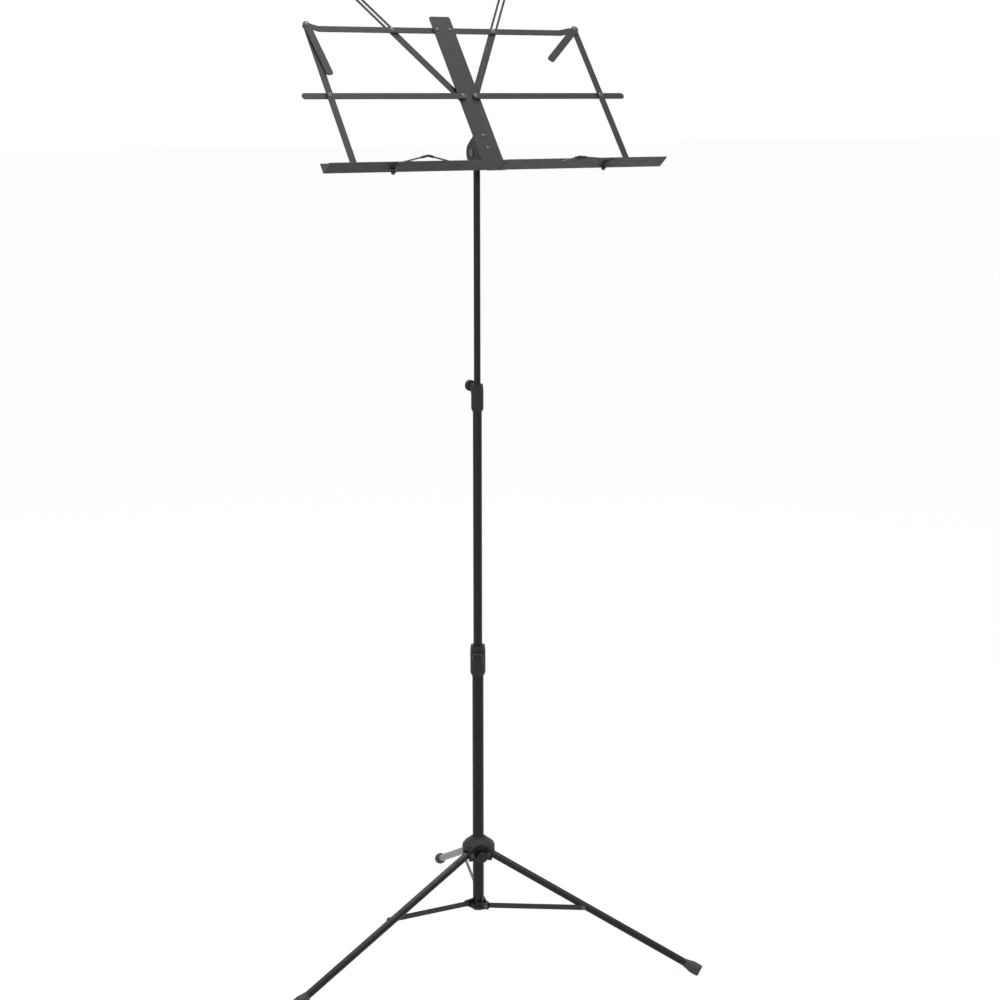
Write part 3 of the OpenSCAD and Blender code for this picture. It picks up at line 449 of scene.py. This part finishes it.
def foot_piece(side, turn):
    """Ribbed rubber boot on a leg's end, worn flat where it meets the floor."""
    node_name = "foot_" + side
    out = Vector((math.cos(turn), math.sin(turn), 0))
    pin = out * LEG_PIN_R
    pin.z = joint_place(side + "_leg_fold").z
    axis = out * math.cos(LEG_SLOPE)
    axis.z = -math.sin(LEG_SLOPE)
    shell = Shell()
    shell.lathe(FOOT_PROFILE, placement(pin + axis * FOOT_AT, axis), segments=96)
    mesh = shell.mesh(node_name + "_boot")
    bm = bmesh.new()
    bm.from_mesh(mesh)
    bmesh.ops.bisect_plane(bm, geom=bm.verts[:] + bm.edges[:] + bm.faces[:], clear_outer=True,
                           plane_co=(0, 0, FLOOR_CUT * MM), plane_no=(0, 0, -1))
    bmesh.ops.holes_fill(bm, edges=[e for e in bm.edges if e.is_boundary])
    bmesh.ops.recalc_face_normals(bm, faces=bm.faces)
    bm.to_mesh(mesh)
    bm.free()
    smooth_shade(mesh)
    add_piece(node_name, "_boot", mesh)


for side, turn in LEG_TURNS.items():
    foot_piece(side, math.radians(turn))


# ---------------------------------------------------------------- page retainers

RETAINER_U = 158.5  # the axle's place
WIRE_V, WIRE_N = -56.9, 29.5  # the wire's row, and its height above the face
AXLE_N = 7.0  # lower end of the axle
BEND, TIP = 47.0, 33.0  # length from the axle to the bend, and from the bend to the tip
RISE = {"left": math.radians(13.5), "right": math.radians(6.0)}
FALL = {"left": math.radians(19.0), "right": math.radians(14.5)}
WIRE_R, AXLE_BEND_R, WIRE_BEND_R = 1.1, 2.6, 7.0
TAIL_LOW_N, TAIL_HIGH_N, TAIL_LEN, TAIL_DROP = 14.5, 21.8, 16.4, 3.0
AXLE_CAP = [(0.4, 0.0), (1.5, 0.05), (1.9, 0.3), (1.98, 0.6), (1.9, 0.9), (1.2, 1.0)]
SLEEVE_R, SLEEVE_IN, SLEEVE_OUT = 1.7, 12.0, 8.0  # radius, and lengths before and after the bend


def retainer_pieces(side, mirror):
    """Bent wire with a finger tail, and the soft sleeve on its bend."""
    rise, fall = RISE[side], FALL[side]
    bend_u = RETAINER_U - BEND * math.cos(rise)
    bend_v = WIRE_V + BEND * math.sin(rise)

    def before_bend(reach):
        return desk(mirror * (bend_u + reach * math.cos(rise)), bend_v - reach * math.sin(rise), WIRE_N)

    def after_bend(reach):
        return desk(mirror * (bend_u - reach * math.cos(fall)), bend_v - reach * math.sin(fall), WIRE_N)

    axle = mirror * RETAINER_U
    corners = [desk(axle, WIRE_V, AXLE_N), desk(axle, WIRE_V, WIRE_N), before_bend(0), after_bend(TIP)]
    shell = Shell()
    shell.sweep(rounded(corners, [AXLE_BEND_R, WIRE_BEND_R]), WIRE_R, segments=24)
    shell.sweep([desk(mirror * (RETAINER_U + k * TAIL_LEN), WIRE_V - k * TAIL_DROP,
                      TAIL_LOW_N + k * (TAIL_HIGH_N - TAIL_LOW_N)) for k in (0, 0.5, 1)], WIRE_R, segments=24)
    shell.lathe(AXLE_CAP, placement(desk(axle, WIRE_V, AXLE_N), DESK_OUT), segments=32)
    shell.replace("retainer_" + side, "_wire")
    shell = Shell()
    ends = [before_bend(SLEEVE_IN), before_bend(0), after_bend(SLEEVE_OUT)]
    shell.sweep(rounded(ends, [WIRE_BEND_R]), SLEEVE_R, segments=28)
    shell.replace("sleeve_" + side, "_soft")


SIDES = (("left", -1), ("right", 1))
for side, mirror in SIDES:
    retainer_pieces(side, mirror)


# ---------------------------------------------------------------- rivets

SHEET, LAYER_GAP = 1.5, 0.3
LEDGE_ROW, PITCH = -43.5, 113.0
MID_ROW, TOP_ROW = LEDGE_ROW + PITCH, LEDGE_ROW + 2 * PITCH
PIVOT_U = 9.5  # the spine's rivets
SIDE_U = PIVOT_U + 196.5  # the side bars' rivets
ARM_GUIDE_U = PIVOT_U + 68.3  # the rivets that guide the page arms
BRACKET_ROWS, BRACKET_BACK_N = (6, -14), -3.3

# Back faces of the layers, above the spine's front face and below it.
MID_BAR_N, SIDE_BAR_N, LEDGE_N = 1.3, 3.1, 4.9
FRONT_N = LEDGE_N + SHEET
TOP_BAR_N, ARM_N = -3.3, -5.1

RIVET_R, BUSH_R = 2.0, 4.0
HEAD_D, SMALL_HEAD_D, HEAD_H, DIMPLE = 6.8, 5.2, 1.0, 0.25
SHANK_EDGE = 0.1
HEAD_PROFILE = [(0.96, 0.0), (1.0, 0.12), (0.985, 0.3), (0.9, 0.55), (0.74, 0.78), (0.52, 0.93), (0.34, 1.0),
                (0.24, 1 - DIMPLE), (0.05, 1 - DIMPLE)]  # shares of the head's radius and height
FRONT, BACK = 1, -1  # which way a head faces


def rivet_piece(node_name, heads, shanks):
    """Rivet node rebuilt as domed heads and plain shanks at desk points."""
    shell = Shell()
    for u, v, n, way, d in heads:
        profile = [(r * d / 2, h * HEAD_H) for r, h in HEAD_PROFILE]
        shell.lathe(profile, placement(desk(u, v, n), DESK_OUT * way), segments=48)
    for u, v, low, high, r in shanks:
        length = high - low
        shell.lathe([(r - SHANK_EDGE, 0.0), (r, SHANK_EDGE), (r, length - SHANK_EDGE), (r - SHANK_EDGE, length)],
                    placement(desk(u, v, low), DESK_OUT), segments=40)
    shell.replace(node_name, "_domed")


heads, shanks = [], []
for _, mirror in SIDES:
    u = mirror * PIVOT_U
    heads += [(u, LEDGE_ROW, FRONT_N, FRONT, HEAD_D), (u, LEDGE_ROW, -SHEET, BACK, HEAD_D),
              (u, MID_ROW, MID_BAR_N + SHEET, FRONT, HEAD_D), (u, MID_ROW, ARM_N, BACK, HEAD_D),
              (u, TOP_ROW, 0.0, FRONT, SMALL_HEAD_D)]
    shanks += [(u, LEDGE_ROW, -SHEET, FRONT_N, RIVET_R), (u, LEDGE_ROW, 0.0, LEDGE_N - LAYER_GAP, BUSH_R),
               (u, MID_ROW, ARM_N, MID_BAR_N + SHEET, RIVET_R), (u, MID_ROW, 0.0, HEAD_H, BUSH_R),
               (u, MID_ROW, TOP_BAR_N, TOP_BAR_N + SHEET + LAYER_GAP, BUSH_R),
               (u, TOP_ROW, TOP_BAR_N, 0.0, RIVET_R)]
rivet_piece("spine_rivets", heads, shanks)
rivet_piece("bracket_rivets",
            [(0, v, 0.0, FRONT, SMALL_HEAD_D) for v in BRACKET_ROWS]
            + [(0, v, BRACKET_BACK_N, BACK, SMALL_HEAD_D) for v in BRACKET_ROWS],
            [(0, v, BRACKET_BACK_N, 0.0, RIVET_R) for v in BRACKET_ROWS])
for side, mirror in SIDES:
    u = mirror * SIDE_U
    rivet_piece("ledge_rivet_" + side, [(u, LEDGE_ROW, FRONT_N, FRONT, HEAD_D)],
                [(u, LEDGE_ROW, SIDE_BAR_N, FRONT_N, RIVET_R)])
    rivet_piece("side_rivets_" + side,
                [(u, MID_ROW, SIDE_BAR_N + SHEET, FRONT, HEAD_D), (u, MID_ROW, MID_BAR_N, BACK, HEAD_D),
                 (u, TOP_ROW, FRONT_N, FRONT, HEAD_D), (u, TOP_ROW, MID_BAR_N, BACK, HEAD_D)],
                [(u, MID_ROW, MID_BAR_N, SIDE_BAR_N + SHEET, RIVET_R), (u, TOP_ROW, MID_BAR_N, FRONT_N, RIVET_R)])
    u = mirror * ARM_GUIDE_U
    rivet_piece("arm_rivet_" + side, [(u, TOP_ROW, TOP_BAR_N + SHEET, FRONT, HEAD_D)],
                [(u, TOP_ROW, TOP_BAR_N, TOP_BAR_N + SHEET, RIVET_R)])


# ---------------------------------------------------------------- the other parts keep their CAD shape

# Width and segments of the rounded edges.
EDGES = {"hub": (0.5, 3), "lower_clutch": (0.6, 3), "upper_clutch": (0.6, 3), "strut_collar": (0.4, 3),
         "tilt_head": (0.5, 3), "tilt_bracket": (0.5, 3), "wing_knob": (0.8, 3)}
STRIP_EDGE, PLAIN_EDGE = (0.45, 3), (0.25, 2)

for node_name in frame["nodes"]:
    if node_name not in replaced:
        usual = STRIP_EDGE if slot_of[node_name] == "strip_charcoal" else PLAIN_EDGE
        soften(node_name, *EDGES.get(node_name, usual))


# ---------------------------------------------------------------- floor, light and camera

WHITE = (1, 1, 1, 1)
FLOOR_HALF = 40.0
FLOOR_COLOR = (0.93, 0.93, 0.93, 1)
FLOOR_WHITE = 0.94  # share of plain white that the background's rays see; the rest keeps the shadow
WORLD_LIGHT = 0.75

# Place, aim, size and power.
LIGHTS = {"top": ((0.35, 0.85, 3.3), (0.1, 0.2, 0), (1.9, 0.9), 62),
          "side": ((-2.3, -1.3, 1.1), (0, 0, 0.7), (0.35, 2.2), 9),
          "front": ((0.11, -0.85, 2.4), (0, -0.1, 0.1), (0.8, 0.35), 8),
          "low": ((0.6, -1.21, 1.49), (-0.2, -0.05, 0.07), (0.5, 0.25), 3.5)}

CAMERA_PLACE = (-1.3424, -2.3823, 1.2041)
CAMERA_YAW, CAMERA_PITCH = math.radians(30.05), math.radians(11.372)
CAMERA_LENS, SENSOR_WIDTH, CAMERA_REACH = 72.88, 36.0, 200.0


def background_rays(tree):
    """One for the rays that should see a white background."""
    path = tree.nodes.new("ShaderNodeLightPath")
    total = path.outputs["Is Camera Ray"]
    for ray in ("Is Glossy Ray", "Is Transmission Ray"):
        either = tree.nodes.new("ShaderNodeMath")
        either.operation = "MAXIMUM"
        tree.links.new(total, either.inputs[0])
        tree.links.new(path.outputs[ray], either.inputs[1])
        total = either.outputs[0]
    return total


def mix_shader(tree, factor, plain, seen, output):
    """Sends the output the shader plain, or seen where the factor is one."""
    mix = tree.nodes.new("ShaderNodeMixShader")
    tree.links.new(factor, mix.inputs[0])
    tree.links.new(plain.outputs[0], mix.inputs[1])
    tree.links.new(seen.outputs[0], mix.inputs[2])
    tree.links.new(mix.outputs[0], tree.nodes[output].inputs["Surface"])


def build_floor():
    mesh = bpy.data.meshes.new("floor")
    mesh.from_pydata([(x * FLOOR_HALF, y * FLOOR_HALF, 0) for x, y in ((-1, -1), (1, -1), (1, 1), (-1, 1))],
                     [], [(0, 1, 2, 3)])
    floor = bpy.data.objects.new("floor", mesh)
    bpy.context.scene.collection.objects.link(floor)
    mat = bpy.data.materials.new("floor_paper")
    mat.use_nodes = True
    tree = mat.node_tree
    paper = tree.nodes["Principled BSDF"]
    paper.inputs["Base Color"].default_value = FLOOR_COLOR
    paper.inputs["Roughness"].default_value = 0.9
    paper.inputs["Specular IOR Level"].default_value = 0.1
    white = tree.nodes.new("ShaderNodeEmission")
    white.inputs["Color"].default_value = WHITE
    white.inputs["Strength"].default_value = 1.0
    share = tree.nodes.new("ShaderNodeMath")
    share.operation = "MULTIPLY"
    share.inputs[1].default_value = FLOOR_WHITE
    tree.links.new(background_rays(tree), share.inputs[0])
    mix_shader(tree, share.outputs[0], paper, white, "Material Output")
    mesh.materials.append(mat)


def build_world():
    world = bpy.data.worlds.new("studio")
    bpy.context.scene.world = world
    world.use_nodes = True
    tree = world.node_tree
    light = tree.nodes["Background"]
    light.inputs["Color"].default_value = WHITE
    light.inputs["Strength"].default_value = WORLD_LIGHT
    seen = tree.nodes.new("ShaderNodeBackground")
    seen.inputs["Color"].default_value = WHITE
    seen.inputs["Strength"].default_value = 1.0
    mix_shader(tree, background_rays(tree), light, seen, "World Output")


def area_light(name, place, aim, size, power):
    data = bpy.data.lights.new(name, "AREA")
    data.shape = "RECTANGLE"
    data.size, data.size_y = size
    data.energy = power
    lamp = bpy.data.objects.new(name, data)
    bpy.context.scene.collection.objects.link(lamp)
    lamp.location = place
    lamp.rotation_euler = (Vector(aim) - Vector(place)).to_track_quat("-Z", "Y").to_euler()


def build_camera():
    data = bpy.data.cameras.new("view")
    data.sensor_width = SENSOR_WIDTH
    data.lens = CAMERA_LENS
    data.clip_end = CAMERA_REACH
    camera = bpy.data.objects.new("view", data)
    bpy.context.scene.collection.objects.link(camera)
    level = math.cos(CAMERA_PITCH)
    forward = Vector((math.sin(CAMERA_YAW) * level, math.cos(CAMERA_YAW) * level, -math.sin(CAMERA_PITCH)))
    camera.location = CAMERA_PLACE
    camera.rotation_euler = forward.to_track_quat("-Z", "Y").to_euler()
    bpy.context.scene.camera = camera


build_floor()
build_world()
for name, (place, aim, size, power) in LIGHTS.items():
    area_light(name, place, aim, size, power)
build_camera()
bpy.context.scene.view_settings.view_transform = "Standard"
